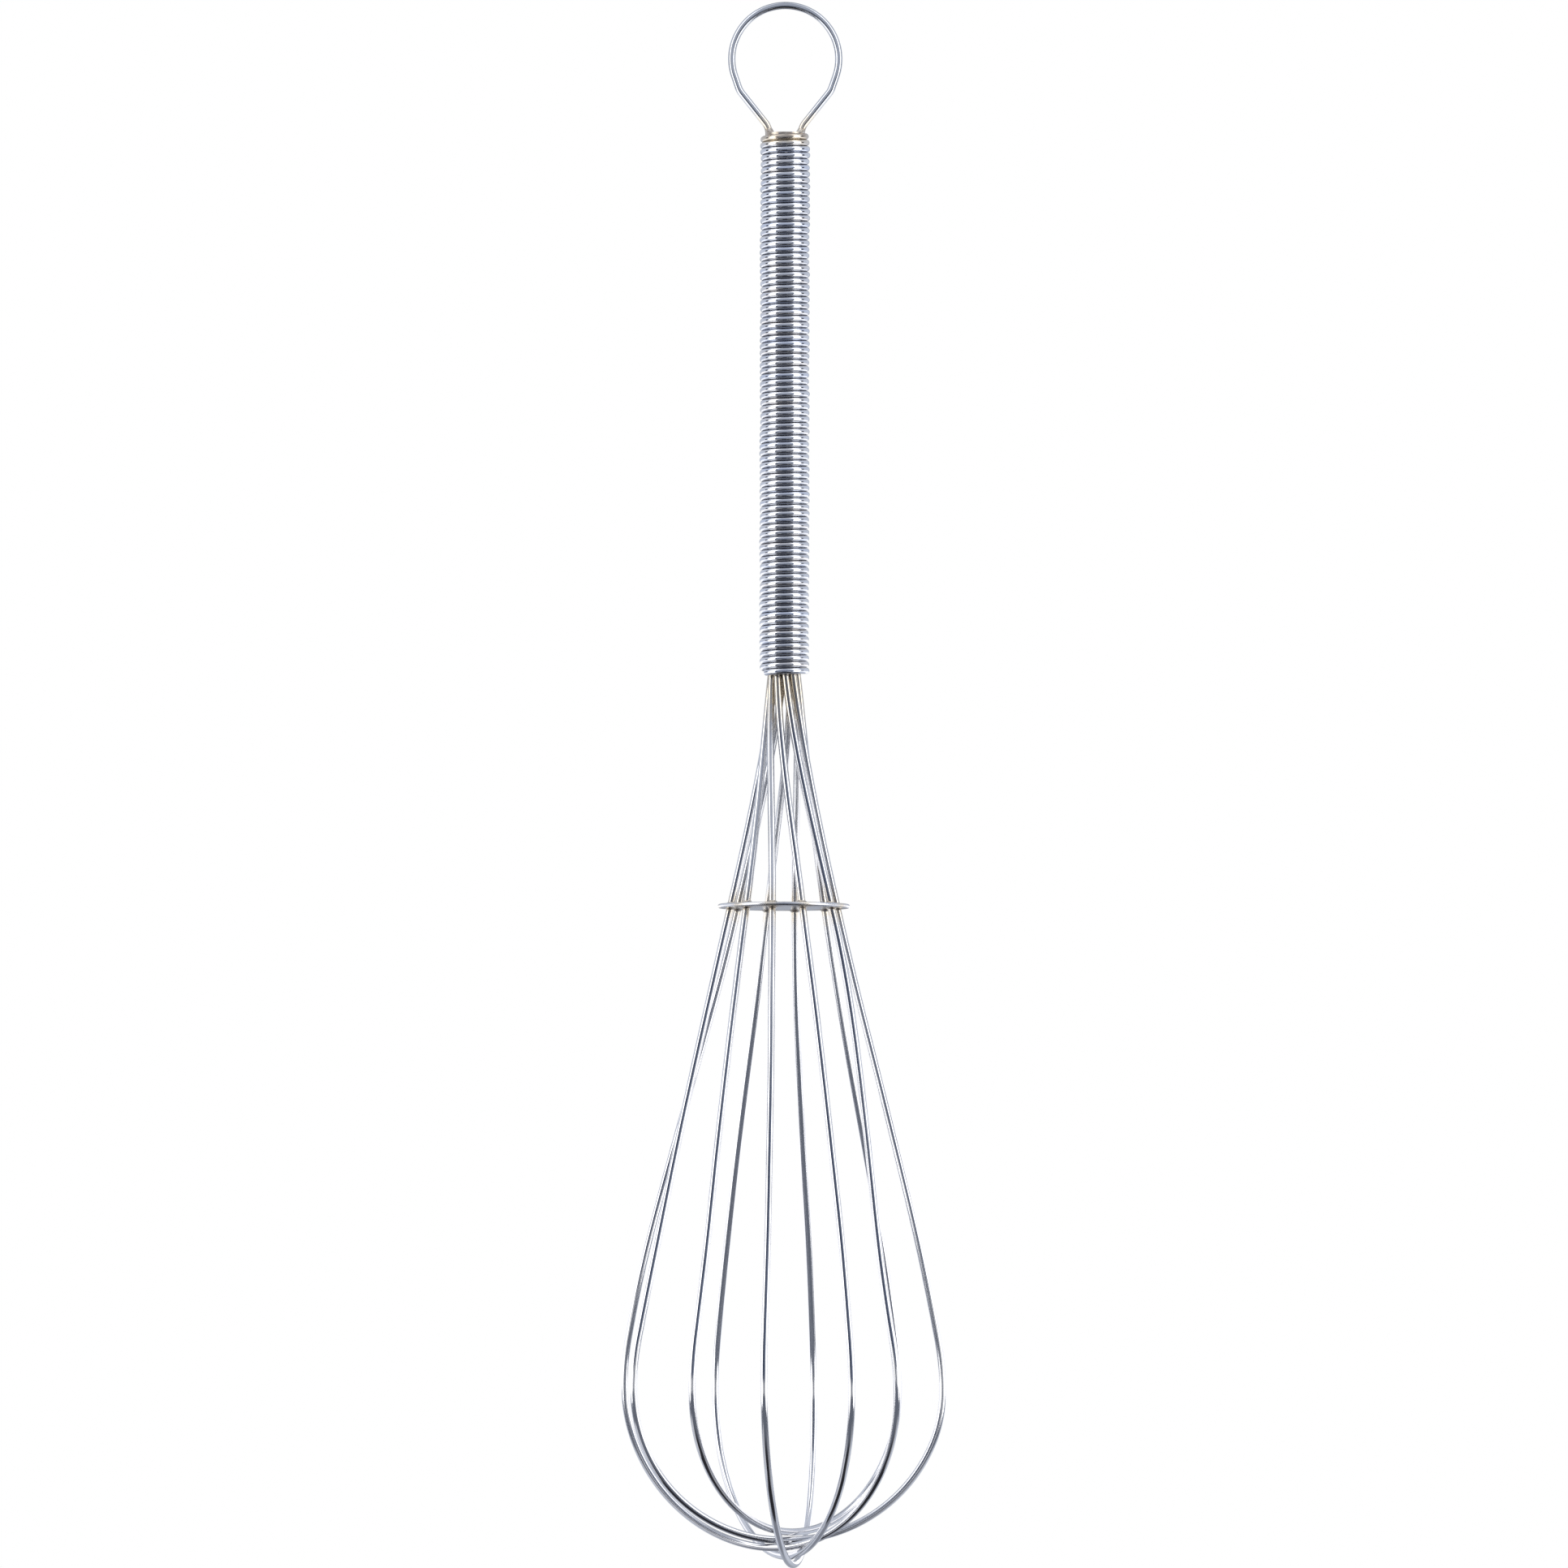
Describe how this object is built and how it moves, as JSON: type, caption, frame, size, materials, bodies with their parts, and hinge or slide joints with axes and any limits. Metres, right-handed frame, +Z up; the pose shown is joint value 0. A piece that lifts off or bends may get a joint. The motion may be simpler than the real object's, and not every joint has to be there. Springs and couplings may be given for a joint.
{
  "type": "balloon whisk",
  "caption": "Balloon whisk: wire loops gathered into a close-wound wire handle, spread by a round disc, with a hanging loop on top.",
  "frame": {"origin": "the point where a hook bears on the inside of the hanging loop, at the loop's top", "axes": "+Z up along the whisk, from the balloon to the hanging loop; +X across the hanging loop's plane, to the right seen from the front; the front is -Y"},
  "size_m": [0.0621, 0.0623, 0.3],
  "materials": {
    "winding_steel": "bright drawn wire",
    "whisk_steel": "bright polished wire",
    "disc_steel": "bright rolled sheet with a tumbled edge",
    "braze": "straw-tinted braze metal"
  },
  "bodies": {
    "root": {"hanging_loop": "whisk_steel", "coil_handle": "winding_steel", "spreader_disc": "disc_steel", "whisk_wire_1": "whisk_steel", "whisk_wire_2": "whisk_steel", "whisk_wire_3": "whisk_steel", "whisk_wire_4": "whisk_steel", "whisk_wire_5": "whisk_steel", "disc_braze_01": "braze", "disc_braze_02": "braze", "disc_braze_03": "braze", "disc_braze_04": "braze", "disc_braze_05": "braze", "disc_braze_06": "braze", "disc_braze_07": "braze", "disc_braze_08": "braze", "disc_braze_09": "braze", "disc_braze_10": "braze", "handle_braze_top": "braze", "handle_braze_bottom": "braze"}
  },
  "joints": []
}
